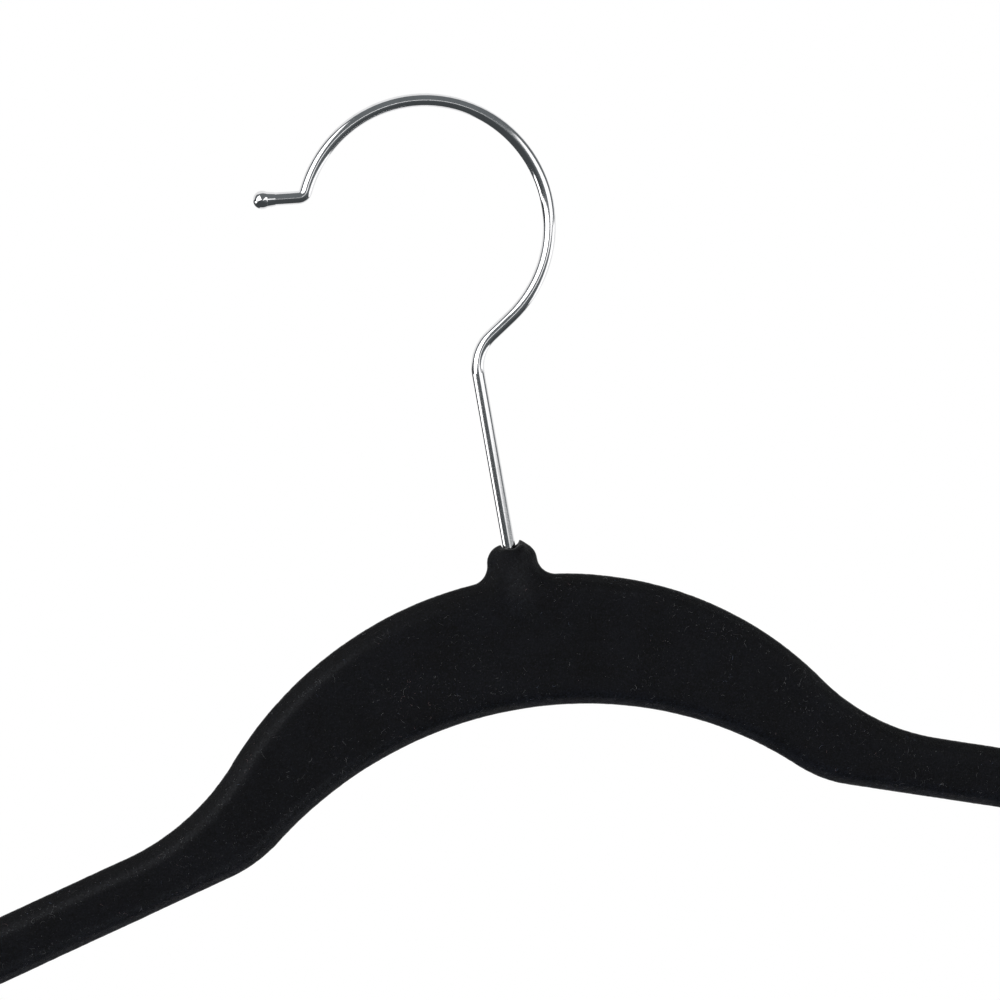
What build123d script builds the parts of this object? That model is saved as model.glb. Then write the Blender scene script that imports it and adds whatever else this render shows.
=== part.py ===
from build123d import *
import os
from math import asin, cos, degrees, radians, sin, sqrt, tan

# Slim flocked clothes hanger with a swivelling wire hook, in millimetres.
# The origin is the point inside the hook, straight above the swivel axis, that rests on the rail.
# +Z is up, +X is along the arms, and the front of the hanger faces -Y.

# ---- driving dimensions: body ----
overall_width = 445.0
body_thickness = 6.0
flock_thickness = 0.5
edge_bevel = 2.65           # 45 degree bevel on the body's front and back edges, on the flock
crown_depth = 105.4         # from the rail down to the crown of the arch
arch_top_radius = 87.3
arch_bottom_radius = 93.5
band_height = 30.4          # height of the arched band on the centre line
arm_width = 14.0
arm_slope = 16.8            # degrees below horizontal
arm_line_drop = 22.6        # the arms' top lines, drawn on, meet this far below the crown
shoulder_blend = 52.7       # hollow between the arch and the top of an arm
knee_blend = 33.0           # bulge between the arch and the underside of an arm
straight_reach = 156.0      # the arm is straight up to this distance from the centre
droop_radius = 300.0        # then it droops along this arc to its tip

# ---- driving dimensions: strap notches ----
notch_reach = 147.0         # distance from the centre
notch_radius = 3.5
notch_depth = 7.0
notch_lip_round = 3.0

# ---- driving dimensions: boss ----
boss_rise = 7.7             # from the crown of the arch to the top of the boss
boss_top_width = 11.0
boss_base_width = 12.2
boss_top_round = 4.2
boss_neck_blend = 4.2
barrel_radius = 3.8         # round swelling that houses the swivel, on the flock
barrel_top_drop = 0.8       # from the top of the boss down to the top of the barrel
barrel_rim_round = 1.2
barrel_depth = 12.0         # from the top of the boss to where the barrel starts to taper
barrel_taper = 8.0
barrel_foot_radius = 2.3

# ---- driving dimensions: hook ----
wire_diameter = 2.9
hook_radius = 27.95         # of the wire's centre line
hook_offset = 10.32         # the hook's centre lies this far left of the swivel axis
stem_lean = 3.3             # degrees that the stem leans left of the swivel axis
lean_depth = 5.7            # from the top of the boss down to the bend where the lean starts
lean_bend_radius = 12.0
neck_rise = 36.2            # degrees above horizontal
neck_bend_radius = 9.2
crook_end = 157.4           # degrees round the hook's centre, from +X
tip_rise = 2.9              # degrees above horizontal, pointing away from the hook
tip_bend_radius = 1.9
tip_length = 8.0            # from the bend to the centre of the ball
ball_diameter = 4.1
ball_neck_length = 2.8      # from the centre of the ball to the end of its tapered neck
ball_neck_wall = 0.1        # of the neck's thin end, round the wire

# ---- driving dimensions: swivel ----
running_clearance = 0.05    # radial, between the stem and its bush
bush_diameter = 4.5
bush_drop = 6.2             # from the top of the boss to the top of the bush
bush_length = 4.6
bush_lead_in = 0.15
knurl_count = 18
knurl_groove_radius = 0.12
collar_diameter = 3.9
collar_length = 2.0
collar_chamfer = 0.2
end_play = 0.1              # between the collar and the bush
socket_floor_gap = 0.8      # between the stem's end and the floor of its socket
mouth_depth = 1.9           # of the hollow round the stem in the top of the boss
mouth_radius = 2.5
mouth_hole_radius = 2.0

# ---- derived heights and angles ----
slope = tan(radians(arm_slope))
bevel_shrink = 2 - sqrt(2)  # of the bevel's length for each step inside the flock, which keeps the layer even
along = (cos(radians(arm_slope)), -sin(radians(arm_slope)))
outward = (sin(radians(arm_slope)), cos(radians(arm_slope)))
crown_z = -crown_depth
arch_top_centre_z = crown_z - arch_top_radius
arch_bottom_centre_z = crown_z - band_height - arch_bottom_radius
arm_line_z = crown_z - arm_line_drop
tip_round = arm_width / 2
droop_run = overall_width / 2 - tip_round - straight_reach
droop_turn = degrees(asin(droop_run / droop_radius - along[1])) - arm_slope
boss_top_z = crown_z + boss_rise
hook_centre_z = -sqrt((hook_radius - wire_diameter / 2) ** 2 - hook_offset**2)
mouth_floor_z = boss_top_z - flock_thickness - mouth_depth
bush_top_z = boss_top_z - bush_drop
bush_bottom_z = bush_top_z - bush_length
collar_top_z = bush_bottom_z - end_play
stem_end_z = collar_top_z - collar_length
socket_floor_z = stem_end_z - socket_floor_gap


def arm_level(inset, side):
    """Height where an arm's top (side = 0) or bottom (side = 1) line crosses the centre line."""
    depth = inset + side * (arm_width - 2 * inset)
    return arm_line_z - depth / outward[1]


def arch_meets_arm(radius, centre_z, level):
    """Right-hand point where an arch's circle meets an arm's straight line."""
    rise = level - centre_z
    x = (slope * rise + sqrt((1 + slope**2) * radius**2 - rise**2)) / (1 + slope**2)
    return (x, level - slope * x)


def both_sides(point):
    """The same point on the right and on the left."""
    return [point, (-point[0], point[1])]


def corners_near(sketch, points):
    """The sketch's corner nearest to each point."""
    return [sketch.vertices().sort_by_distance((x, z))[0] for x, z in points]


def arm_outline(inset):
    """Right arm, from the centre line to its round tip."""
    half = arm_width / 2 - inset
    middle_z = arm_level(arm_width / 2, 0) - slope * straight_reach
    upper = (straight_reach + half * outward[0], middle_z + half * outward[1])
    top = Line((0, arm_level(inset, 0)), upper)
    top_droop = JernArc(top @ 1, top % 1, droop_radius + half, -droop_turn)
    tip = JernArc(top_droop @ 1, top_droop % 1, half, -180)
    under_droop = JernArc(tip @ 1, tip % 1, droop_radius - half, droop_turn)
    under = Line(under_droop @ 1, (0, arm_level(inset, 1)))
    Line(under @ 1, top @ 0)


def boss_outline(inset):
    """Tapered block that stands on the crown and reaches down into the band."""
    top_half = boss_top_width / 2 - inset
    base_half = boss_base_width / 2 - inset
    root_z = crown_z - boss_rise
    root_half = base_half + (base_half - top_half)
    top_z = boss_top_z - inset
    Polyline((-root_half, root_z), (-top_half, top_z), (top_half, top_z), (root_half, root_z), close=True)


def front_outline(inset):
    """The body seen from the front, drawn this far inside the surface of the flock."""
    top_radius = arch_top_radius - inset
    bottom_radius = arch_bottom_radius + inset
    trim_reach = arch_top_radius + arm_width
    top_level = arm_level(inset, 0)
    bottom_level = arm_level(inset, 1)
    shoulder = arch_meets_arm(top_radius, arch_top_centre_z, top_level)
    knee = arch_meets_arm(bottom_radius, arch_bottom_centre_z, bottom_level)

    slot_radius = notch_radius + inset
    slot_drop = notch_depth - notch_radius
    top_at_notch = (notch_reach, arm_line_z - slope * notch_reach)
    slot = (top_at_notch[0] - slot_drop * outward[0], top_at_notch[1] - slot_drop * outward[1])
    lip_middle = (slot[0] + (slot_drop - inset) * outward[0], slot[1] + (slot_drop - inset) * outward[1])
    lips = [
        (lip_middle[0] + side * slot_radius * along[0], lip_middle[1] + side * slot_radius * along[1])
        for side in (-1, 1)
    ]

    with BuildSketch(Plane.XZ) as outline:
        with BuildLine():
            arm_outline(inset)
        make_face()
        with Locations(slot):
            Circle(slot_radius, mode=Mode.SUBTRACT)
            Rectangle(
                2 * slot_radius,
                arm_width,
                rotation=-arm_slope,
                align=(Align.CENTER, Align.MIN),
                mode=Mode.SUBTRACT,
            )
        fillet(corners_near(outline, lips), notch_lip_round - inset)
        mirror(about=Plane.YZ)
        with Locations((0, arch_top_centre_z)):
            Circle(top_radius)
        with Locations((0, arch_bottom_centre_z)):
            Circle(bottom_radius, mode=Mode.SUBTRACT)
        with BuildLine():
            eaves_z = bottom_level - slope * trim_reach
            ground_z = arch_top_centre_z - arch_top_radius
            Polyline(
                (0, bottom_level),
                (trim_reach, eaves_z),
                (trim_reach, ground_z),
                (-trim_reach, ground_z),
                (-trim_reach, eaves_z),
                close=True,
            )
        make_face(mode=Mode.SUBTRACT)
        fillet(corners_near(outline, both_sides(shoulder)), shoulder_blend + inset)
        fillet(corners_near(outline, both_sides(knee)), knee_blend - inset)
        with BuildLine():
            boss_outline(inset)
        make_face()
        boss_top = (boss_top_width / 2 - inset, boss_top_z - inset)
        boss_foot = (boss_base_width / 2 - inset, crown_z - inset)
        fillet(corners_near(outline, both_sides(boss_top)), boss_top_round - inset)
        fillet(corners_near(outline, both_sides(boss_foot)), boss_neck_blend + inset)
    return outline.sketch


def body_solid(inset):
    """Plate with bevelled edges and a round barrel in its middle, this far inside the flock's surface."""
    radius = barrel_radius - inset
    top_z = boss_top_z - barrel_top_drop - inset
    taper_z = boss_top_z - barrel_depth
    foot_z = taper_z - barrel_taper
    with BuildPart() as body:
        extrude(front_outline(inset), amount=body_thickness / 2 - inset, both=True)
        faces_across = body.faces().sort_by(Axis.Y)
        chamfer(faces_across[0].edges() + faces_across[-1].edges(), edge_bevel - inset * bevel_shrink)
        with BuildSketch(Plane.XZ) as barrel:
            with BuildLine():
                Polyline(
                    (0, top_z),
                    (radius, top_z),
                    (radius, taper_z),
                    (barrel_foot_radius - inset, foot_z),
                    (0, foot_z),
                    close=True,
                )
            make_face()
            fillet(corners_near(barrel, [(radius, top_z)]), barrel_rim_round - inset / 2)
        revolve(axis=Axis.Z)
    return body.part


def mouth_cutter(inset, floor_radius):
    """Funnel round the stem, in the top of the boss, this far inside the flock's surface."""
    top_z = boss_top_z - inset
    floor_z = top_z - mouth_depth
    with BuildPart() as cutter:
        with BuildSketch(Plane.XZ):
            with BuildLine():
                Polyline(
                    (0, floor_z),
                    (floor_radius, floor_z),
                    (mouth_radius + inset, top_z),
                    (mouth_radius + inset, top_z + mouth_depth),
                    (0, top_z + mouth_depth),
                    close=True,
                )
            make_face()
        revolve(axis=Axis.Z)
    return cutter.part


def save(piece, label):
    """Name the piece and write it to its own file."""
    piece.part.label = label
    export_step(piece.part, f"parts/{label}.step")


os.makedirs("parts", exist_ok=True)

# ---- hook wire: foot in the socket, leaning stem, neck bend, straight neck, round crook, tip bend and tip ----
lean_z = boss_top_z - lean_depth
lean_dir = (-sin(radians(stem_lean)), cos(radians(stem_lean)))
lean_setback = lean_bend_radius * tan(radians(stem_lean / 2))
neck_dir = (cos(radians(neck_rise)), sin(radians(neck_rise)))
neck_top = (-hook_offset + hook_radius * neck_dir[1], hook_centre_z - hook_radius * neck_dir[0])
neck_turn = 90 + stem_lean - neck_rise
neck_setback = neck_bend_radius * tan(radians(neck_turn / 2))
lean_run = ((neck_top[1] - lean_z) * neck_dir[0] - neck_top[0] * neck_dir[1]) / cos(radians(neck_rise - stem_lean))
stem_reach = lean_run - neck_setback
stem_top = (stem_reach * lean_dir[0], lean_z + stem_reach * lean_dir[1])
crook_turn = crook_end + 90 - neck_rise
tip_turn = crook_end + 90 - (180 - tip_rise)

with BuildPart() as hook_wire:
    with BuildLine(Plane.XZ) as wire_path:
        foot = Line((0, stem_end_z), (0, lean_z - lean_setback))
        lean_bend = JernArc(foot @ 1, foot % 1, lean_bend_radius, stem_lean)
        stem = Line(lean_bend @ 1, stem_top)
        neck_bend = JernArc(stem @ 1, stem % 1, neck_bend_radius, -neck_turn)
        neck = Line(neck_bend @ 1, neck_top)
        crook = JernArc(neck @ 1, neck % 1, hook_radius, crook_turn)
        tip_bend = JernArc(crook @ 1, crook % 1, tip_bend_radius, -tip_turn)
        tip = PolarLine(tip_bend @ 1, tip_length, direction=tip_bend % 1)
    with BuildSketch(Plane(origin=foot @ 0, z_dir=foot % 0)):
        Circle(wire_diameter / 2)
    sweep()
save(hook_wire, "hook_wire")

# ---- ball on the end of the tip, with a tapered neck, bored to its centre for the wire ----
ball_centre = tip @ 1
across_wire = Plane(origin=ball_centre, z_dir=-(tip % 1))
neck_angle = degrees(asin((wire_diameter / 2 + ball_neck_wall) / (ball_diameter / 2))) + 10
with BuildPart() as hook_tip_ball:
    with Locations(ball_centre):
        Sphere(ball_diameter / 2)
    with BuildSketch(across_wire.offset(ball_diameter / 2 * cos(radians(neck_angle)))):
        Circle(ball_diameter / 2 * sin(radians(neck_angle)))
    with BuildSketch(across_wire.offset(ball_neck_length)):
        Circle(wire_diameter / 2 + ball_neck_wall)
    loft()
    with BuildSketch(across_wire):
        Circle(wire_diameter / 2)
    extrude(amount=ball_neck_length, mode=Mode.SUBTRACT)
save(hook_tip_ball, "hook_tip_ball")

# ---- collar fixed on the stem's lower end: it hangs the body on the stem ----
with BuildPart() as stop_collar:
    with BuildSketch(Plane.XY.offset(stem_end_z)):
        Circle(collar_diameter / 2)
    extrude(amount=collar_length)
    chamfer(stop_collar.edges().filter_by(GeomType.CIRCLE), collar_chamfer)
    with BuildSketch(Plane.XY.offset(stem_end_z)):
        Circle(wire_diameter / 2)
    extrude(amount=collar_length, mode=Mode.SUBTRACT)
save(stop_collar, "stop_collar")

# ---- knurled bush, pressed into the socket above the collar ----
bush_bore_radius = wire_diameter / 2 + running_clearance
with BuildPart() as swivel_bush:
    with BuildSketch(Plane.XY.offset(bush_bottom_z)):
        Circle(bush_diameter / 2)
        Circle(bush_bore_radius, mode=Mode.SUBTRACT)
        with PolarLocations(bush_diameter / 2, knurl_count):
            Circle(knurl_groove_radius, mode=Mode.SUBTRACT)
    extrude(amount=bush_length)
    bore_rims = swivel_bush.edges().filter_by(GeomType.CIRCLE).filter_by(
        lambda edge: abs(edge.radius - bush_bore_radius) < running_clearance
    )
    chamfer(bore_rims, bush_lead_in)
save(swivel_bush, "swivel_bush")

# ---- body under the flock, with the hollow that the flock lines round the stem ----
with BuildPart() as core_blank:
    add(body_solid(flock_thickness))
    add(mouth_cutter(flock_thickness, bush_diameter / 2), mode=Mode.SUBTRACT)

# ---- moulded core, with the blind socket for the swivel ----
with BuildPart() as hanger_core:
    add(core_blank.part)
    with BuildSketch(Plane.XY.offset(socket_floor_z)):
        Circle(bush_diameter / 2)
    extrude(amount=mouth_floor_z - socket_floor_z, mode=Mode.SUBTRACT)
save(hanger_core, "hanger_core")

# ---- coat of flock over the whole core, open only where the stem comes out ----
with BuildPart() as velvet_flock:
    add(body_solid(0))
    add(core_blank.part, mode=Mode.SUBTRACT)
    add(mouth_cutter(0, mouth_hole_radius), mode=Mode.SUBTRACT)
    with BuildSketch(Plane.XY.offset(mouth_floor_z)):
        Circle(mouth_hole_radius)
    extrude(amount=mouth_depth, mode=Mode.SUBTRACT)
save(velvet_flock, "velvet_flock")
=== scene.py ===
from math import asin, atan2, cos, hypot, pi, radians, sin, sqrt, tan

import bmesh
import bpy
import numpy as np
from mathutils import Matrix, Vector, noise


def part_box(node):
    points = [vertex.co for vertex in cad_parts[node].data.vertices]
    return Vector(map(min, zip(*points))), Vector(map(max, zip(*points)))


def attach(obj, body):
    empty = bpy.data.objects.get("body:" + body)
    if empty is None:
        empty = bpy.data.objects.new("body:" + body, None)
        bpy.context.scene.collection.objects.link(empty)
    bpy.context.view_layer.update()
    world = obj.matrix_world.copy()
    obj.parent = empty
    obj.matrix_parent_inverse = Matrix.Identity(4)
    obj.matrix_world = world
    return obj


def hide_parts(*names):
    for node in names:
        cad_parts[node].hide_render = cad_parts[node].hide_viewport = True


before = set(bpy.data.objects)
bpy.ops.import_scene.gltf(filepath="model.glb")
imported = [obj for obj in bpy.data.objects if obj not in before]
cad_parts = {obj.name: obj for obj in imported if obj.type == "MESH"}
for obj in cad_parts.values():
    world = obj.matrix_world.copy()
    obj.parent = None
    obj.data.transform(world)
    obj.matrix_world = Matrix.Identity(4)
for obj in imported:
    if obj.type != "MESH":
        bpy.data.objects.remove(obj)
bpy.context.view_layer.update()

MM = 0.001

# ---- the flocked body's outline, in millimetres, as in the CAD part ----
flock_low, flock_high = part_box("velvet_flock")
overall_width = (flock_high.x - flock_low.x) / MM
boss_top_z = flock_high.z / MM
barrel_radius = flock_high.y / MM
half_thickness = 3.0
edge_bevel = 2.65
boss_rise = 7.7
crown_z = boss_top_z - boss_rise
arch_top_radius = 87.3
arch_bottom_radius = 93.5
band_height = 30.4
arm_width = 14.0
arm_slope = 16.8
arm_line_drop = 22.6
shoulder_blend = 52.7
knee_blend = 33.0
straight_reach = 156.0
droop_radius = 300.0
notch_reach = 147.0
notch_radius = 3.5
notch_depth = 7.0
notch_lip_round = 3.0
boss_top_width = 11.0
boss_base_width = 12.2
boss_top_round = 4.2
boss_neck_blend = 4.2
barrel_top_drop = 0.8
barrel_rim_round = 1.2
barrel_depth = 12.0
barrel_taper = 8.0
barrel_foot_radius = 2.3

mouth_radius = 2.25
mouth_zone = 2.0        # below the boss's top, where the pile is shaped by the mouth
socket_reach = 2.26     # just more than the radius of the core's socket
cut_radius = 3.0        # the boss's top is opened inside this circle and closed again by the rings
# Rings from the cut to the core, as radius and share of the mouth's depth.
# The flock overhangs the core's seat a little.
mouth_rings = (
    (2.75, 0.0), (2.5, 0.0), (2.25, 0.0),
    (2.12, 0.05), (2.03, 0.14), (1.97, 0.28), (1.96, 0.5), (2.02, 0.75), (2.1, 0.92),
)

slope = tan(radians(arm_slope))
along = np.array([cos(radians(arm_slope)), -sin(radians(arm_slope))])
outward = np.array([sin(radians(arm_slope)), cos(radians(arm_slope))])
arch_top_centre = np.array([0.0, crown_z - arch_top_radius])
arch_bottom_centre = np.array([0.0, crown_z - band_height - arch_bottom_radius])
arm_line_z = crown_z - arm_line_drop

# Points past an edge's end rank a little farther from it, so that its neighbour takes them.
line_end_cost = 1e-4
arc_end_cost = 1e-5
far_away = 1e9


def line_height(depth):
    """Height on the centre line of the arm's line that lies this deep below its top line."""
    return arm_line_z - depth / outward[1]


def on_circle_and_line(radius, centre_z, level):
    """Right-hand point on a circle round (0, centre_z) and on the arm-sloped line through (0, level)."""
    rise = level - centre_z
    x = (slope * rise + sqrt((1 + slope**2) * radius**2 - rise**2)) / (1 + slope**2)
    return np.array([x, level - slope * x])


def angle_of(vector):
    return atan2(vector[1], vector[0])


class Edge:
    """A line or an arc of the outline's right half, walked with the body on its right-hand side."""

    def __init__(self, start, end, centre=None, radius=0.0, convex=True):
        self.start = np.array(start, float)
        self.end = np.array(end, float)
        self.centre = centre
        self.radius = radius
        self.convex = convex

    def signed(self, x, z):
        """Signed distance to this edge, negative in the body, and the distance to rank edges by."""
        if self.centre is None:
            step = self.end - self.start
            length = hypot(*step)
            step = step / length
            run = (x - self.start[0]) * step[0] + (z - self.start[1]) * step[1]
            side = (z - self.start[1]) * step[0] - (x - self.start[0]) * step[1]
            beyond = np.maximum(0.0, np.maximum(-run, run - length))
            reach = np.hypot(beyond, side)
            return np.where(side < 0, -reach, reach), reach + line_end_cost * beyond
        rx, rz = x - self.centre[0], z - self.centre[1]
        rho = np.hypot(rx, rz)
        first, last = angle_of(self.start - self.centre), angle_of(self.end - self.centre)
        turn = (last - first) % (2 * pi)
        if self.convex:
            turn -= 2 * pi
        middle = first + turn / 2
        off = np.abs((np.arctan2(rz, rx) - middle + pi) % (2 * pi) - pi)
        inside = off <= abs(turn) / 2
        ends = np.minimum(
            np.hypot(x - self.start[0], z - self.start[1]),
            np.hypot(x - self.end[0], z - self.end[1]),
        )
        gap = rho - self.radius if self.convex else self.radius - rho
        reach = np.where(inside, np.abs(gap), ends)
        return np.where(gap < 0, -reach, reach), reach + np.where(inside, 0.0, arc_end_cost)


def outline_edges():
    """The body's outline, clockwise from the boss's middle to the underside's, each end a little past it."""
    boss_overrun = 1.0
    hollow_overrun = 0.05   # as a sine
    corner = np.array([boss_top_width / 2, boss_top_z])
    root = np.array([boss_base_width / 2, crown_z])
    flank = (root - corner) / hypot(*(root - corner))
    flank_out = np.array([-flank[1], flank[0]])
    round_x = corner[0] - boss_top_round * (1 - flank_out[1]) / flank_out[0]
    boss_round = np.array([round_x, boss_top_z - boss_top_round])

    neck_start = corner + boss_neck_blend * flank_out
    to_centre = neck_start - arch_top_centre
    half_b = float(to_centre @ flank)
    neck_reach = arch_top_radius + boss_neck_blend
    run = -half_b - sqrt(half_b**2 - float(to_centre @ to_centre) + neck_reach**2)
    neck = neck_start + run * flank

    shoulder = on_circle_and_line(
        arch_top_radius + shoulder_blend, arch_top_centre[1], line_height(-shoulder_blend)
    )
    knee = on_circle_and_line(
        arch_bottom_radius + knee_blend, arch_bottom_centre[1], line_height(arm_width - knee_blend)
    )
    slot_drop = notch_depth - notch_radius
    slot = np.array([notch_reach, arm_line_z - slope * notch_reach]) - slot_drop * outward
    lip_reach = notch_radius + notch_lip_round
    lip_near = slot + (slot_drop - notch_lip_round) * outward - lip_reach * along
    lip_far = slot + (slot_drop - notch_lip_round) * outward + lip_reach * along
    half = arm_width / 2
    middle = np.array([straight_reach, line_height(half) - slope * straight_reach])
    droop = middle - droop_radius * outward
    run_out = overall_width / 2 - half - straight_reach
    tip_angle = pi / 2 - asin(run_out / droop_radius + outward[0])
    tip_way = np.array([cos(tip_angle), sin(tip_angle)])
    tip = droop + droop_radius * tip_way

    def toward(centre, radius, other):
        gap = other - centre
        return centre + radius * gap / hypot(*gap)

    crest_near = toward(arch_top_centre, arch_top_radius, neck)
    crest_far = toward(arch_top_centre, arch_top_radius, shoulder)
    hollow_near = toward(arch_bottom_centre, arch_bottom_radius, knee)
    hollow_way = np.array([-hollow_overrun, sqrt(1 - hollow_overrun**2)])
    hollow_top = arch_bottom_centre + arch_bottom_radius * hollow_way
    up = np.array([0.0, 1.0])
    boss_start = boss_round + boss_top_round * up
    boss_end = boss_round + boss_top_round * flank_out
    lip_out = notch_lip_round * outward
    lip_along = notch_lip_round * along
    return [
        Edge((-boss_overrun, boss_top_z), boss_start),
        Edge(boss_start, boss_end, boss_round, boss_top_round),
        Edge(boss_end, neck - boss_neck_blend * flank_out),
        Edge(neck - boss_neck_blend * flank_out, crest_near, neck, boss_neck_blend, False),
        Edge(crest_near, crest_far, arch_top_centre, arch_top_radius),
        Edge(crest_far, shoulder - shoulder_blend * outward, shoulder, shoulder_blend, False),
        Edge(shoulder - shoulder_blend * outward, lip_near + lip_out),
        Edge(lip_near + lip_out, lip_near + lip_along, lip_near, notch_lip_round),
        Edge(lip_near + lip_along, slot - notch_radius * along),
        Edge(slot - notch_radius * along, slot + notch_radius * along, slot, notch_radius, False),
        Edge(slot + notch_radius * along, lip_far - lip_along),
        Edge(lip_far - lip_along, lip_far + lip_out, lip_far, notch_lip_round),
        Edge(lip_far + lip_out, middle + half * outward),
        Edge(middle + half * outward, tip + half * tip_way, droop, droop_radius + half),
        Edge(tip + half * tip_way, tip - half * tip_way, tip, half),
        Edge(tip - half * tip_way, middle - half * outward, droop, droop_radius - half, False),
        Edge(middle - half * outward, knee - knee_blend * outward),
        Edge(knee - knee_blend * outward, hollow_near, knee, knee_blend),
        Edge(hollow_near, hollow_top, arch_bottom_centre, arch_bottom_radius, False),
    ]


right_half = outline_edges()


def outline_distance(x, z):
    """Signed distance to the outline in the plane of the arms, negative in the body."""
    x = np.abs(x)
    best = np.full(np.shape(x), far_away)
    value = np.full(np.shape(x), far_away)
    for edge in right_half:
        signed, rank = edge.signed(x, z)
        nearer = rank < best
        best = np.where(nearer, rank, best)
        value = np.where(nearer, signed, value)
    return value


# ---- the surface of the pile ----
dome_reach = 6.5        # the faces fall away gently from this far inside the outline
dome_drop = 0.22
face_soften = 1.0       # of the pile over the bevel's edges: at the face, and along the outline
rim_soften = 0.5
crease_blend = 0.7
crease_depth = 3.0      # inside the outline, where the highlight is painted over the bevel's edge
crease_width = 0.8
# Painted highlight on the creases: at least this share, and on the left arm more and more from this far out,
# over this run, up to 1.
crease_glint_least = 0.12
crease_glint_from = 25.0
crease_glint_run = 25.0
crease_start = 10.0     # from the middle, where the creases' painted highlight and their extra fibres begin
crease_run = 6.0
patch_share = 0.8       # of the patch down the boss that gets a painted highlight and more fibres
patch_x = 0.8
patch_width = 2.6
patch_drop = 1.5        # below the boss's top
patch_run = 4.0
patch_foot = 9.0        # below the crown
patch_foot_run = 6.0
lip_width = 0.5         # of the ring round the mouth that gets a painted highlight
rim_depth = 3.0         # below the boss's top, where its rim is no longer lifted
rim_rise = 0.6          # of the boss's rim on the stem's right-hand side
rim_rise_x = 2.2
rim_rise_width = 1.2
rim_dip = 0.4           # in front of the stem
rim_dip_x = 0.1
rim_dip_width = 1.1
rim_fall = 0.4          # behind the stem
rim_fall_run = 2.0
net_step = 0.52         # at 0.5 the exporter thinned the pile's mesh


def soft_max(a, b, width):
    """The larger of two fields, with the edge between them rounded off."""
    return np.maximum(a, b) + np.maximum(0.0, width - np.abs(a - b)) ** 2 / (4 * width)


def pile_field(across, x, y, z):
    """Negative inside the flocked body. across is the signed distance to the outline at (x, z)."""
    dome = dome_drop * np.clip((across + dome_reach) / (dome_reach - edge_bevel), 0, 1) ** 2
    face = np.abs(y) - half_thickness + dome
    bevel = (np.abs(y) + across - half_thickness + edge_bevel) / sqrt(2)
    plate = soft_max(soft_max(face, bevel, face_soften), across + 0 * y, rim_soften)
    depth = boss_top_z - z
    taper = np.maximum(0.0, depth - barrel_depth) * (barrel_radius - barrel_foot_radius) / barrel_taper
    a = np.hypot(x, y) - (barrel_radius - taper) + barrel_rim_round
    b = barrel_rim_round + barrel_top_drop - depth
    inner = np.minimum(np.maximum(a, b), 0)
    barrel = np.hypot(np.maximum(a, 0), np.maximum(b, 0)) + inner - barrel_rim_round
    mixed = np.clip(0.5 + 0.5 * (barrel - plate) / crease_blend, 0, 1)
    return barrel * (1 - mixed) + plate * mixed - crease_blend * mixed * (1 - mixed)


def fibre_and_glint_share(points):
    """A share from 0 to 1 over the faces' creases, down the boss and round the mouth: more loose fibres lie
    there, and the velvet's colour gets a painted highlight there.
    """
    x, z = points[:, 0], points[:, 2]
    across = outline_distance(x, z)
    # painted highlight: weak on every crease, growing out along the left arm
    arm_glint = crease_glint_least + (1 - crease_glint_least) * np.clip((-x - crease_glint_from) / crease_glint_run, 0, 1)
    off_middle = np.clip((np.abs(x) - crease_start) / crease_run, 0, 1)
    crease = np.exp(-(((across + crease_depth) / crease_width) ** 2)) * arm_glint * off_middle
    below_top = np.clip((boss_top_z - patch_drop - z) / patch_run, 0, 1)
    above_foot = np.clip((z - crown_z + patch_foot) / patch_foot_run, 0, 1)
    patch = np.exp(-(((x - patch_x) / patch_width) ** 2)) * (below_top * above_foot)
    off_lip = np.hypot(x, points[:, 1]) - mouth_radius
    lip = np.exp(-((off_lip / lip_width) ** 2)) * (z > boss_top_z - mouth_zone)
    return np.maximum(np.maximum(crease, patch_share * patch), lip)


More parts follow.
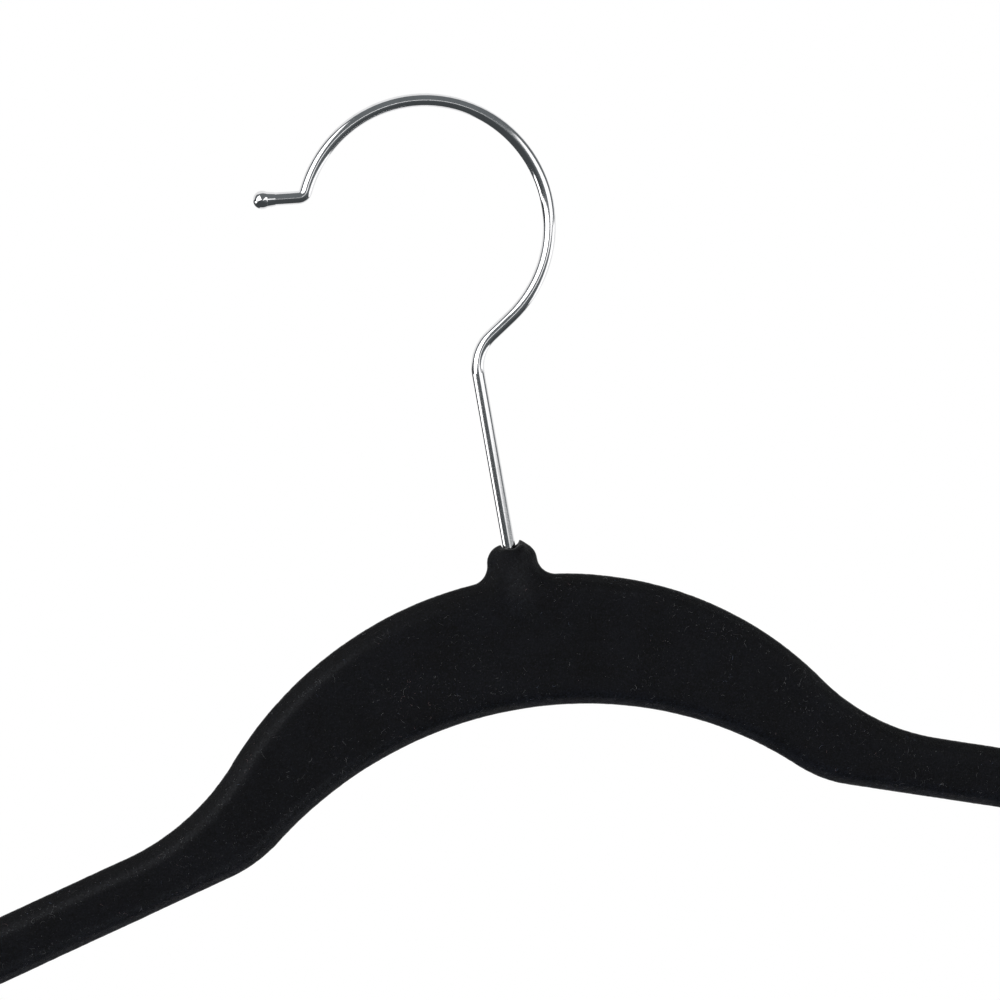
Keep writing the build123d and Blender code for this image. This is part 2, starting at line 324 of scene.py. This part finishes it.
def surface_net(xs, ys, zs):
    """Closed quad mesh of the pile's surface on a grid: one point in each cell that the surface crosses."""
    across = outline_distance(*np.meshgrid(xs, zs, indexing="ij"))
    gx, gy, gz = np.meshgrid(xs, ys, zs, indexing="ij", sparse=True)
    field = pile_field(across[:, None, :], gx, gy, gz)
    solid = field < 0
    cells = tuple(n - 1 for n in field.shape)
    weight = np.zeros(cells)
    place = np.zeros(cells + (3,))
    grid = (xs, ys, zs)
    for axis in range(3):
        p, q = [other for other in range(3) if other != axis]
        low = [slice(None)] * 3
        high = [slice(None)] * 3
        low[axis], high[axis] = slice(None, -1), slice(1, None)
        f0, f1 = field[tuple(low)], field[tuple(high)]
        crossed = (f0 < 0) != (f1 < 0)
        share = np.where(crossed, f0 / np.where(crossed, f0 - f1, 1), 0)
        for dp in (0, 1):
            for dq in (0, 1):
                pick = [slice(None)] * 3
                pick[p] = slice(dp, dp + cells[p])
                pick[q] = slice(dq, dq + cells[q])
                pick = tuple(pick)
                hit = crossed[pick].astype(float)
                weight += hit
                for k in range(3):
                    line = grid[k]
                    shape = [1, 1, 1]
                    shape[k] = cells[k]
                    if k == axis:
                        base = line[:-1].reshape(shape)
                        size = np.diff(line).reshape(shape)
                        place[..., k] += hit * (base + share[pick] * size)
                    else:
                        shift = dp if k == p else dq
                        place[..., k] += hit * line[shift : shift + cells[k]].reshape(shape)
    used = weight > 0
    number = np.full(cells, -1)
    number[used] = np.arange(int(used.sum()))
    points = place[used] / weight[used][:, None]
    quads = []
    for axis in range(3):
        p, q = [(1, 2), (2, 0), (0, 1)][axis]
        low = [slice(None)] * 3
        high = [slice(None)] * 3
        low[axis], high[axis] = slice(None, -1), slice(1, None)
        s0, s1 = solid[tuple(low)], solid[tuple(high)]
        where = np.argwhere(s0 != s1)
        keep = (where[:, p] > 0) & (where[:, q] > 0) & (where[:, p] < cells[p]) & (where[:, q] < cells[q])
        where = where[keep]
        leaving = s0[tuple(where.T)]
        corners = []
        for dp, dq in ((0, 0), (1, 0), (1, 1), (0, 1)):
            at = where.copy()
            at[:, p] -= 1 - dp
            at[:, q] -= 1 - dq
            corners.append(number[tuple(at.T)])
        quad = np.stack(corners, axis=1)
        quad[~leaving] = quad[~leaving][:, ::-1]
        quads.append(quad)
    return points, np.concatenate(quads)


def onto_pile(points):
    """Moves the points onto the pile's surface and returns them with the surface's outward directions."""
    rounds = 3
    step = 1e-3
    least_slope = 1e-6

    def at(p):
        return pile_field(outline_distance(p[:, 0], p[:, 2]), p[:, 0], p[:, 1], p[:, 2])

    for turn in range(rounds + 1):
        value = at(points)
        slope_at = np.stack([(at(points + step * np.eye(3)[k]) - value) / step for k in range(3)], axis=1)
        size = np.maximum(np.linalg.norm(slope_at, axis=1), least_slope)
        if turn < rounds:
            points = points - slope_at * (value / size**2)[:, None]
    return points, slope_at / size[:, None]


def new_mesh_object(name, points, faces):
    """An object made from points in millimetres and faces that number them."""
    mesh = bpy.data.meshes.new(name)
    corners = [tuple(p) for p in np.asarray(points, float) * MM]
    mesh.from_pydata(corners, [], [tuple(int(i) for i in f) for f in faces])
    mesh.validate()
    mesh.shade_smooth()
    made = bpy.data.objects.new(name, mesh)
    bpy.context.scene.collection.objects.link(made)
    return made


# ---- the flock: outer pile, the mouth round the stem, and the core's own surface as the inner side ----
def pile_noise(point, size, seed):
    """Smooth noise from -1 to 1 with features of this size, in millimetres."""
    return noise.noise(Vector(point) / size + Vector((seed, 2 * seed, 3 * seed)))


def rim_lift(x, y, z):
    """How far the flock's uneven rim stands above the moulded one round the stem."""
    share = np.clip((z - boss_top_z + rim_depth) / rim_depth, 0, 1)
    rise = rim_rise * np.exp(-(((x - rim_rise_x) / rim_rise_width) ** 2))
    dip = rim_dip * np.exp(-(((x - rim_dip_x) / rim_dip_width) ** 2))
    return share * (rise - dip - rim_fall * np.clip(y / rim_fall_run, 0, 1))


def pile_top(radius, angles):
    """Heights of the boss's top surface on a circle round the stem."""
    halvings = 30
    x, y = radius * np.cos(angles), radius * np.sin(angles)
    high = np.full(len(angles), boss_top_z + 0.5)
    low = np.full(len(angles), boss_top_z - 3.0)
    for _ in range(halvings):
        z = (high + low) / 2
        above = pile_field(outline_distance(x, z), x, y, z) > 0
        high, low = np.where(above, z, high), np.where(above, low, z)
    return high + rim_lift(x, y, high)


def ring_of(bm, angles, radius, heights):
    return [bm.verts.new((radius * cos(t), radius * sin(t), z)) for t, z in zip(angles, heights)]


def join_rings(bm, upper, lower):
    for i in range(len(upper)):
        j = (i + 1) % len(upper)
        bm.faces.new((upper[i], lower[i], lower[j], upper[j]))


def pile_net():
    """Points and quads of the outer pile with its slight waves, and the points where fibres may lie."""
    spare_steps, half_rows = 3, 9
    # Found by trial: margins of 1.2, 1.3 or 1.4 below leave four edges that more than two faces share,
    # and 1.05 leaves none.
    margin_below, margin_above = 1.05, 1.2
    calm_reach, calm_run = 3.2, 1.5     # from the stem, where the waves set in
    fibre_reach = 4.0                   # from the stem, where fibres may lie on the boss
    waves = ((0.04, 9.0, 1.0), (0.03, 1.9, 2.0), (0.04, 0.8, 3.0))     # height, size and seed

    half_steps = int(overall_width / 2 / net_step) + spare_steps
    xs = (np.arange(-half_steps, half_steps) + 0.5) * net_step
    ys = (np.arange(-half_rows, half_rows) + 0.5) * net_step
    zs = np.arange(flock_low.z / MM - margin_below, boss_top_z + margin_above, net_step)
    points, quads = surface_net(xs, ys, zs)
    points, normals = onto_pile(points)
    reach = np.hypot(points[:, 0], points[:, 1])
    by_mouth = points[:, 2] > boss_top_z - mouth_zone
    calm = np.where(by_mouth, np.clip((reach - calm_reach) / calm_run, 0, 1), 1)
    lift = np.array([sum(high * pile_noise(p, size, seed) for high, size, seed in waves) for p in points])
    points = points + normals * (lift * calm)[:, None]
    points[:, 2] += rim_lift(points[:, 0], points[:, 1], points[:, 2])
    return points, quads, points[(reach > fibre_reach) | (points[:, 2] < crown_z)]


def cut_boss_top(bm):
    """Opens the top of the boss and brings the opening's edges, which it returns, onto the cut circle."""
    top = [v for v in bm.verts if v.co.z > boss_top_z - mouth_zone and hypot(v.co.x, v.co.y) < cut_radius]
    bmesh.ops.delete(bm, geom=top, context="VERTS")
    cut = [e for e in bm.edges if e.is_boundary]
    brink = list({v for e in cut for v in e.verts})
    turns = np.array([atan2(v.co.y, v.co.x) for v in brink])
    for v, turn, height in zip(brink, turns, pile_top(cut_radius, turns)):
        v.co = (cut_radius * cos(turn), cut_radius * sin(turn), height)
    return cut


def add_inner_side(bm):
    """Adds the core's surface turned inside out, without its socket, and returns the height of its seat."""
    core = bmesh.new()
    core.from_mesh(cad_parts["hanger_core"].data)
    bmesh.ops.scale(core, vec=(1 / MM, 1 / MM, 1 / MM), verts=core.verts)
    bmesh.ops.remove_doubles(core, verts=core.verts, dist=1e-4)
    seat_z = max(v.co.z for v in core.verts if hypot(v.co.x, v.co.y) < socket_reach)
    socket = [f for f in core.faces if all(hypot(v.co.x, v.co.y) < socket_reach for v in f.verts)]
    bmesh.ops.delete(core, geom=socket, context="FACES")
    bmesh.ops.reverse_faces(core, faces=core.faces)
    kept = bpy.data.meshes.new("inner_side")
    core.to_mesh(kept)
    core.free()
    bm.from_mesh(kept)
    bpy.data.meshes.remove(kept)
    return seat_z


def line_mouth(bm, cut, seat_z):
    """Closes the flock with rings from the cut circle down to the edge of the core's seat."""
    seat = sorted(
        (v for v in bm.verts if v.is_boundary and hypot(v.co.x, v.co.y) < socket_reach),
        key=lambda v: atan2(v.co.y, v.co.x),
    )
    angles = np.array([atan2(v.co.y, v.co.x) for v in seat])
    crest = pile_top(mouth_radius, angles)
    rings = []
    for radius, sink in mouth_rings:
        outer = pile_top(radius, angles) if radius >= mouth_radius else crest
        rings.append(ring_of(bm, angles, radius, outer + sink * (seat_z - outer)))
    rings.append(seat)
    for upper, lower in zip(rings, rings[1:]):
        join_rings(bm, upper, lower)
    rim = [bm.edges.get((rings[0][i], rings[0][(i + 1) % len(angles)])) for i in range(len(angles))]
    bmesh.ops.bridge_loops(bm, edges=cut + rim)


def make_pile():
    """The flock as one closed mesh, and the points of its surface where fibres may lie."""
    points, quads, pile_spots = pile_net()
    bm = bmesh.new()
    made = [bm.verts.new(p) for p in points]
    for quad in quads:
        bm.faces.new([made[i] for i in quad])
    cut = cut_boss_top(bm)
    seat_z = add_inner_side(bm)
    line_mouth(bm, cut, seat_z)
    bmesh.ops.recalc_face_normals(bm, faces=bm.faces)
    bmesh.ops.scale(bm, vec=(MM, MM, MM), verts=bm.verts)
    mesh = bpy.data.meshes.new("velvet_pile")
    bm.to_mesh(mesh)
    bm.free()
    mesh.shade_smooth()
    # Share of the painted highlight, stored on the pile for its material
    painted_glint = mesh.attributes.new("painted_glint", "FLOAT", "POINT")
    painted_glint.data.foreach_set("value", fibre_and_glint_share(np.array([v.co for v in mesh.vertices]) / MM))
    flock = bpy.data.objects.new("velvet_pile", mesh)
    bpy.context.scene.collection.objects.link(flock)
    return flock, pile_spots


# ---- loose fibres lying on the pile ----
def strands(rng, start, knots, length, thick, lift, spin):
    """Points and faces of thin closed tubes that lie on the pile, each with both ends in it."""
    count, sides = len(start), 3
    scatter, twist_spread = 0.2, 1.2
    sunk = 0.02                         # of both ends, below the pile
    end_thickness, end_share = 0.35, 0.04
    start, normal = onto_pile(start + rng.uniform(-scatter, scatter, (count, 3)))
    twist = rng.normal(0, twist_spread, count)
    heading = rng.uniform(0, 2 * pi, count)
    aside = np.cross(normal, rng.normal(0, 1, (count, 3)))
    aside /= np.linalg.norm(aside, axis=1)[:, None]
    ahead = np.cross(normal, aside)
    share = np.linspace(0, 1, knots)
    path = np.zeros((count, knots, 3))
    path[:, 0] = start
    for k in range(1, knots):
        bend = heading + length * (spin * share[k] + twist * share[k] ** 2)
        way = np.cos(bend)[:, None] * aside + np.sin(bend)[:, None] * ahead
        path[:, k] = path[:, k - 1] + way * (length / (knots - 1))[:, None]
    flat, outs = onto_pile(path.reshape(-1, 3))
    outs = outs.reshape(count, knots, 3)
    path = flat.reshape(count, knots, 3) + outs * (lift[:, None] * np.sin(pi * share) - sunk)[..., None]
    run = np.gradient(path, axis=1)
    run /= np.linalg.norm(run, axis=2)[..., None]
    across = np.cross(run, outs)
    across /= np.linalg.norm(across, axis=2)[..., None]
    over = np.cross(across, run)
    swell = np.sqrt(np.sin(pi * np.clip(share, end_share, 1 - end_share)))
    slim = thick[:, None] * (end_thickness + (1 - end_thickness) * swell)
    turns = np.arange(sides) * 2 * pi / sides
    ring = np.cos(turns)[:, None] * across[:, :, None] + np.sin(turns)[:, None] * over[:, :, None]
    skin = path[:, :, None] + ring * slim[:, :, None, None]
    faces = []
    for k in range(knots - 1):
        for i in range(sides):
            j = (i + 1) % sides
            faces.append((k * sides + i, k * sides + j, (k + 1) * sides + j, (k + 1) * sides + i))
    faces.append(tuple(range(sides))[::-1])
    faces.append(tuple((knots - 1) * sides + i for i in range(sides)))
    size = knots * sides
    return skin.reshape(-1, 3), [tuple(n * size + i for i in face) for n in range(count) for face in faces]


def make_fibres(seats):
    """Curled lint and many short fibre ends, thicker where the pile stands open."""
    rng = np.random.default_rng(7)
    curls, dots = 3400, 6200
    curl_knots, dot_knots = 6, 3
    drift_size, drift_seed = 14.0, 5.0
    even, drifted, opened = 0.4, 3.0, 2.5       # how much each adds to the fibres' density
    seats = seats[::3]
    drift = np.array([max(0.0, pile_noise(p, drift_size, drift_seed) + 0.1) for p in seats])
    density = even + drifted * drift + opened * fibre_and_glint_share(seats)
    picked = rng.choice(len(seats), curls + dots, p=density / density.sum())
    curl_points, curl_faces = strands(
        rng, seats[picked[:curls]], curl_knots,
        length=0.4 + 1.8 * rng.random(curls) ** 2.4,
        thick=rng.uniform(0.010, 0.019, curls),
        lift=rng.uniform(0.03, 0.10, curls),
        spin=rng.normal(0, 1.3, curls),
    )
    dot_points, dot_faces = strands(
        rng, seats[picked[curls:]], dot_knots,
        length=rng.uniform(0.10, 0.34, dots),
        thick=rng.uniform(0.015, 0.032, dots),
        lift=rng.uniform(0.02, 0.05, dots),
        spin=rng.normal(0, 0.5, dots),
    )
    first = len(curl_points)
    faces = curl_faces + [tuple(first + i for i in face) for face in dot_faces]
    return new_mesh_object("loose_fibres", np.concatenate([curl_points, dot_points]), faces)


# ---- materials ----
class Graph:
    """Short calls for building a node tree. Any input is a number, a tuple or another node's output."""

    def __init__(self, tree):
        self.tree = tree
        tree.nodes.clear()

    def node(self, kind, inputs=None, **settings):
        made = self.tree.nodes.new(kind)
        for key, value in settings.items():
            setattr(made, key, value)
        for key, value in (inputs or {}).items():
            if isinstance(value, bpy.types.NodeSocket):
                self.tree.links.new(value, made.inputs[key])
            else:
                made.inputs[key].default_value = value
        return made

    def math(self, operation, *values):
        made = self.node("ShaderNodeMath", dict(enumerate(values)), operation=operation)
        return made.outputs[0]

    def fade(self, value, start, end, low=0.0, high=1.0, shape="SMOOTHSTEP"):
        inputs = {"Value": value, "From Min": start, "From Max": end, "To Min": low, "To Max": high}
        return self.node("ShaderNodeMapRange", inputs, interpolation_type=shape).outputs[0]

    def mix(self, share, first, second):
        inputs = {"Factor": share, 6: first, 7: second}
        return self.node("ShaderNodeMix", inputs, data_type="RGBA").outputs[2]

    def noise(self, where, scale, detail=2.0, rough=0.5):
        inputs = {"Vector": where, "Scale": scale, "Detail": detail, "Roughness": rough}
        return self.node("ShaderNodeTexNoise", inputs).outputs[0]

    def bump(self, height, distance, strength=1.0):
        inputs = {"Height": height, "Distance": distance, "Strength": strength}
        return self.node("ShaderNodeBump", inputs).outputs[0]

    def place(self, stretch=(1, 1, 1)):
        """Object coordinates in millimetres, stretched."""
        where = self.node("ShaderNodeTexCoord").outputs["Object"]
        scale = tuple(s / MM for s in stretch)
        return self.node("ShaderNodeMapping", {"Vector": where, "Scale": scale}).outputs[0]


def material(name):
    made = bpy.data.materials.new(name)
    made.use_nodes = True
    return made, Graph(made.node_tree)


def close(graph, shader):
    graph.node("ShaderNodeOutputMaterial", {"Surface": shader.outputs[0]})


def velvet_material():
    """Short upright fibres: nearly black, with a pale rim seen edge on; painted highlights lighten the
    colour over the creases, down the boss and round the mouth, painted light lightens faces turned down and
    painted shade darkens faces turned up.
    """
    made, g = material("black_velvet")
    where = g.place()
    cloud = g.noise(where, 0.13, 3.0, 0.6)
    clump = g.noise(where, 0.8, 2.0, 0.6)
    grain = g.noise(where, 2.4, 4.0, 0.75)
    fine = g.node("ShaderNodeTexVoronoi", {"Vector": where, "Scale": 3.1, "Randomness": 1.0})
    dots = g.fade(fine.outputs["Distance"], 0.1, 0.3, 1.0, 0.0)
    tips = g.math("MULTIPLY", dots, g.fade(grain, 0.46, 0.62))
    # share of the painted highlight over the creases, down the boss and round the mouth
    pile_spots = g.node("ShaderNodeAttribute", attribute_name="painted_glint").outputs["Fac"]
    painted_glint = g.math("MULTIPLY", pile_spots, g.fade(grain, 0.35, 0.65, 0.3, 1.3, "LINEAR"))
    # Painted light and shade: faces turned down are lightened up to 2.5 times, faces turned up darkened to
    # half
    turned = g.node("ShaderNodeTexCoord").outputs["Normal"]
    facing = g.node("ShaderNodeSeparateXYZ", {"Vector": turned}).outputs[2]
    painted_light_below = g.fade(facing, -0.7, 0.0, 2.5, 1.0, "LINEAR")
    over = g.fade(facing, 0.0, 0.7, 1.0, 0.5, "LINEAR")
    mottle = g.fade(grain, 0.3, 0.7, -0.7, 0.7, "LINEAR")
    tone = g.math("ADD", g.fade(cloud, 0.3, 0.7, 0.3, 0.6, "LINEAR"), mottle)
    tone = g.math("MULTIPLY", tone, g.math("MULTIPLY", painted_light_below, over))
    tone = g.math("MAXIMUM", tone, 0.0)
    near_black = (0.0058, 0.0068, 0.0108)
    dark = g.node("ShaderNodeVectorMath", {0: near_black, "Scale": tone}, operation="SCALE")
    colour = g.mix(g.math("MULTIPLY", tips, 0.7), dark.outputs[0], (0.050, 0.051, 0.056, 1))
    # painted highlight: lighter colour where that share is high
    colour = g.mix(g.math("MULTIPLY", painted_glint, 0.35), colour, (0.036, 0.037, 0.041, 1))
    height = g.math("ADD", g.math("MULTIPLY", grain, 0.6), g.math("MULTIPLY", clump, 0.4))
    nap = g.bump(height, 0.00035, 1.0)
    rough = g.math("SUBTRACT", g.fade(clump, 0.3, 0.7, 0.46, 0.56, "LINEAR"), g.math("MULTIPLY", painted_glint, 0.2))
    shader = g.node("ShaderNodeBsdfPrincipled", {"Base Color": colour, "Roughness": rough, "Normal": nap})
    shader.inputs["Specular IOR Level"].default_value = 0.13
    shader.inputs["Sheen Weight"].default_value = 0.07
    shader.inputs["Sheen Roughness"].default_value = 0.22
    shader.inputs["Sheen Tint"].default_value = (0.96, 0.98, 1.0, 1)
    close(g, shader)
    return made


def fibre_material():
    """Pale grey lint with some pink and blue threads among it."""
    made, g = material("lint_fibre")
    draw = g.node("ShaderNodeNewGeometry").outputs["Random Per Island"]
    patch = g.noise(g.place(), 0.05, 2.0, 0.5)
    pale = g.math("POWER", g.math("FRACT", g.math("MULTIPLY", draw, 7.0)), 2.0)
    grey = g.mix(pale, (0.05, 0.05, 0.055, 1), (0.32, 0.32, 0.33, 1))
    pink = g.math("GREATER_THAN", g.math("ADD", draw, g.fade(patch, 0.4, 0.7, -0.1, 0.2, "LINEAR")), 0.97)
    blue = g.math("LESS_THAN", draw, 0.06)
    colour = g.mix(pink, grey, (0.27, 0.17, 0.175, 1))
    colour = g.mix(blue, colour, (0.13, 0.16, 0.25, 1))
    shader = g.node("ShaderNodeBsdfPrincipled", {
        "Base Color": colour,
        "Roughness": g.fade(patch, 0.3, 0.7, 0.6, 0.8, "LINEAR"),
        "Normal": g.bump(g.noise(g.place(), 12.0), 0.00001, 0.4),
    })
    close(g, shader)
    return made


def metal_material(name, colour, rough):
    """Polished metal with faint drawing lines and slightly duller spots."""
    made, g = material(name)
    line_size = (0.25, 0.25, 6.0)
    lines = g.noise(g.place(line_size), 1.0, 2.0, 0.6)
    spots = g.noise(g.place(), 0.35, 3.0, 0.65)
    shade = tuple(c * 0.9 for c in colour[:3]) + (1,)
    shader = g.node("ShaderNodeBsdfPrincipled", {
        "Base Color": g.mix(g.fade(spots, 0.35, 0.65, 0.0, 1.0, "LINEAR"), shade, colour),
        "Roughness": g.fade(lines, 0.3, 0.7, rough * 0.75, rough * 1.3, "LINEAR"),
        "Normal": g.bump(lines, 0.000004, 0.35),
    })
    shader.inputs["Metallic"].default_value = 1.0
    close(g, shader)
    return made


def plastic_material():
    made, g = material("moulded_plastic")
    grain = g.noise(g.place(), 2.5, 3.0, 0.6)
    shader = g.node("ShaderNodeBsdfPrincipled", {
        "Base Color": g.mix(grain, (0.010, 0.010, 0.011, 1), (0.022, 0.022, 0.023, 1)),
        "Roughness": g.fade(grain, 0.3, 0.7, 0.38, 0.52, "LINEAR"),
        "Normal": g.bump(grain, 0.00003, 0.4),
    })
    close(g, shader)
    return made


def floor_material(radius):
    """Pale matt floor that fades into the white backdrop towards its edge."""
    made, g = material("pale_floor")
    spot = g.node("ShaderNodeSeparateXYZ", {"Vector": g.node("ShaderNodeTexCoord").outputs["Object"]})
    squares = [g.math("POWER", spot.outputs[k], 2.0) for k in (0, 1)]
    away = g.math("SQRT", g.math("ADD", *squares))
    speck = g.noise(g.place(), 0.02, 3.0, 0.5)
    pale = g.mix(speck, (0.84, 0.84, 0.84, 1), (0.88, 0.88, 0.88, 1))
    paint = g.node("ShaderNodeBsdfDiffuse", {"Color": pale})
    white = g.node("ShaderNodeEmission", {"Color": (1, 1, 1, 1), "Strength": 1.0})
    share = g.fade(away, 0.45 * radius, 0.97 * radius)
    close(g, g.node("ShaderNodeMixShader", {0: share, 1: paint.outputs[0], 2: white.outputs[0]}))
    return made


# ---- camera and studio ----
view_yaw = radians(-7.90)
view_pitch = radians(-5.80)
view_roll = radians(6.81)
view_distance = 0.635
view_width = 0.2264       # of the picture, at the aimed point
view_aim = Vector((-0.0011, 0.0, -0.0877))
view_right = Vector((cos(view_yaw), sin(view_yaw), 0.0))
view_ahead = Vector((-sin(view_yaw) * cos(view_pitch), cos(view_yaw) * cos(view_pitch), sin(view_pitch)))
view_up = view_right.cross(view_ahead)


# The studio as a mirror ball at the hook shows it to the camera: across and up, 1 at the ball's outline.
# The numbers were picked and rounded from measured places where light and dark meet along the
# photo's wire, and then corrected. The panels' corners run clockwise.
left_panel = ((-0.62, -0.115), (-0.55, 0.15), (-0.36, 0.38), (-0.18, 0.45), (-0.03, -0.035))
left_strip = ((-0.62, -0.07), (-0.55, -0.24), (-0.76, -0.24), (-0.80, -0.08))
right_panel = ((0.08, -0.122), (0.45, 0.24), (0.66, 0.10), (0.60, -0.045))
right_wall = ((0.48, -0.09), (1.2, 0.02), (1.2, -0.7), (0.60, -0.50))
left_strength, right_strength = 2.8, 1.35
room_dark, room_light = 0.072, 0.172
panel_soft, backdrop_soft = 0.015, 0.025
# Where the white backdrop begins on the ball, by the angle round it in degrees.
backdrop_rim = (
    (-180, 1.04), (-172, 1.04), (-160, 1.0), (-125, 0.95), (-110, 0.85), (-70, 0.87),
    (-42, 0.91), (-8, 0.80), (15, 0.91), (45, 0.82), (65, 0.71),
    (110, 0.66), (130, 0.75), (165, 0.79), (176, 1.0), (180, 1.04),
)
rim_limit = 1.1         # the float curve holds shares of this, as it is clipped at 1


def build_studio():
    """A white backdrop, lit panels on both sides and the dim room in front, round the camera's axis."""
    world = bpy.data.worlds.new("studio")
    world.use_nodes = True
    bpy.context.scene.world = world
    g = Graph(world.node_tree)
    way = g.node("ShaderNodeTexCoord").outputs["Generated"]

    def part(source, axis):
        made = g.node("ShaderNodeVectorMath", {0: source, 1: tuple(axis)}, operation="DOT_PRODUCT")
        return made.outputs["Value"]

    x, y, z = part(way, view_right), part(way, view_ahead), part(way, view_up)
    spread = g.math("SQRT", g.math("MULTIPLY", 2.0, g.math("MAXIMUM", g.math("SUBTRACT", 1.0, y), 0.0001)))
    across = g.math("DIVIDE", x, spread)
    up = g.math("DIVIDE", z, spread)
    spot = g.node("ShaderNodeCombineXYZ", {0: across, 1: up, 2: 1.0}).outputs[0]

    def panel(corners):
        share = 1.0
        for (x0, z0), (x1, z1) in zip(corners, corners[1:] + corners[:1]):
            size = hypot(x1 - x0, z1 - z0)
            nx, nz = (z1 - z0) / size, (x0 - x1) / size
            inward = part(spot, (nx, nz, -nx * x0 - nz * z0))
            share = g.math("MULTIPLY", share, g.fade(inward, -panel_soft, panel_soft))
        return share

    left = g.math("MAXIMUM", panel(left_panel), panel(left_strip))
    right = g.math("MAXIMUM", panel(right_panel), panel(right_wall))
    room = g.fade(part(spot, (0.4, 1.0, 0.0)), -0.3, 0.05, room_dark, room_light)
    light = g.math("ADD", g.math("MULTIPLY", left, left_strength), g.math("MULTIPLY", right, right_strength))
    light = g.math("ADD", light, room)
    turn = g.math("MULTIPLY", g.math("ARCTAN2", up, across), 1 / (2 * pi))
    curve = g.node("ShaderNodeFloatCurve", {"Value": g.math("ADD", turn, 0.5)})
    points = curve.mapping.curves[0].points
    while len(points) < len(backdrop_rim):
        points.new(0.5, 0.5)
    for point, (degree, rim) in zip(points, backdrop_rim):
        point.location = ((degree + 180) / 360, rim / rim_limit)
    curve.mapping.update()
    out = g.math("SQRT", g.math("ADD", g.math("MULTIPLY", across, across), g.math("MULTIPLY", up, up)))
    rim_here = g.math("MULTIPLY", curve.outputs[0], rim_limit)
    backdrop = g.fade(g.math("SUBTRACT", out, rim_here), -backdrop_soft, backdrop_soft)
    level = g.math("ADD", g.math("MULTIPLY", light, g.math("SUBTRACT", 1.0, backdrop)), backdrop)
    seen = g.node("ShaderNodeLightPath").outputs["Is Camera Ray"]
    level = g.math("ADD", g.math("MULTIPLY", level, g.math("SUBTRACT", 1.0, seen)), seen)
    tint = g.mix(g.fade(level, 0.0, 0.6), (0.90, 1.0, 1.05, 1), (1, 1, 1, 1))
    shine = g.node("ShaderNodeBackground", {"Color": tint, "Strength": level})
    g.node("ShaderNodeOutputWorld", {"Surface": shine.outputs[0]})


def build_floor():
    radius, height = 1.2, -0.62
    bm = bmesh.new()
    bmesh.ops.create_circle(bm, cap_ends=True, cap_tris=False, segments=96, radius=radius)
    mesh = bpy.data.meshes.new("floor")
    bm.to_mesh(mesh)
    bm.free()
    floor = bpy.data.objects.new("floor", mesh)
    floor.location.z = height
    bpy.context.scene.collection.objects.link(floor)
    mesh.materials.append(floor_material(radius))
    floor.visible_glossy = False
    floor.visible_diffuse = False


def build_camera():
    """From the upper left, near enough for the arms to grow towards the viewer's side."""
    data = bpy.data.cameras.new("camera")
    data.sensor_width = 36.0
    data.lens = data.sensor_width * view_distance / view_width
    data.clip_end = 20.0
    camera = bpy.data.objects.new("camera", data)
    bpy.context.scene.collection.objects.link(camera)
    camera.location = view_aim - view_distance * view_ahead
    turned_right = cos(view_roll) * view_right - sin(view_roll) * view_up
    turned_up = sin(view_roll) * view_right + cos(view_roll) * view_up
    camera.rotation_euler = Matrix((turned_right, turned_up, -view_ahead)).transposed().to_euler()
    bpy.context.scene.camera = camera


def finish_node(name, finish):
    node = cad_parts[name]
    node.data.materials.clear()
    node.data.materials.append(finish)
    return node


build_studio()
build_floor()
build_camera()
bpy.context.scene.view_settings.view_transform = "Standard"

pile, pile_spots = make_pile()
pile.data.materials.append(velvet_material())
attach(pile, "hanger_body")
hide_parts("velvet_flock")

fibres = make_fibres(pile_spots)
fibres.data.materials.append(fibre_material())
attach(fibres, "hanger_body")

chrome = (0.78, 0.78, 0.79, 1)
steel = (0.52, 0.52, 0.53, 1)
brass = (0.72, 0.53, 0.25, 1)
finish_node("hook_wire", metal_material("chrome_wire", chrome, 0.09))
finish_node("hook_tip_ball", metal_material("chrome_ball", chrome, 0.09))
finish_node("stop_collar", metal_material("collar_steel", steel, 0.28))
finish_node("swivel_bush", metal_material("bush_brass", brass, 0.26))
finish_node("hanger_core", plastic_material())
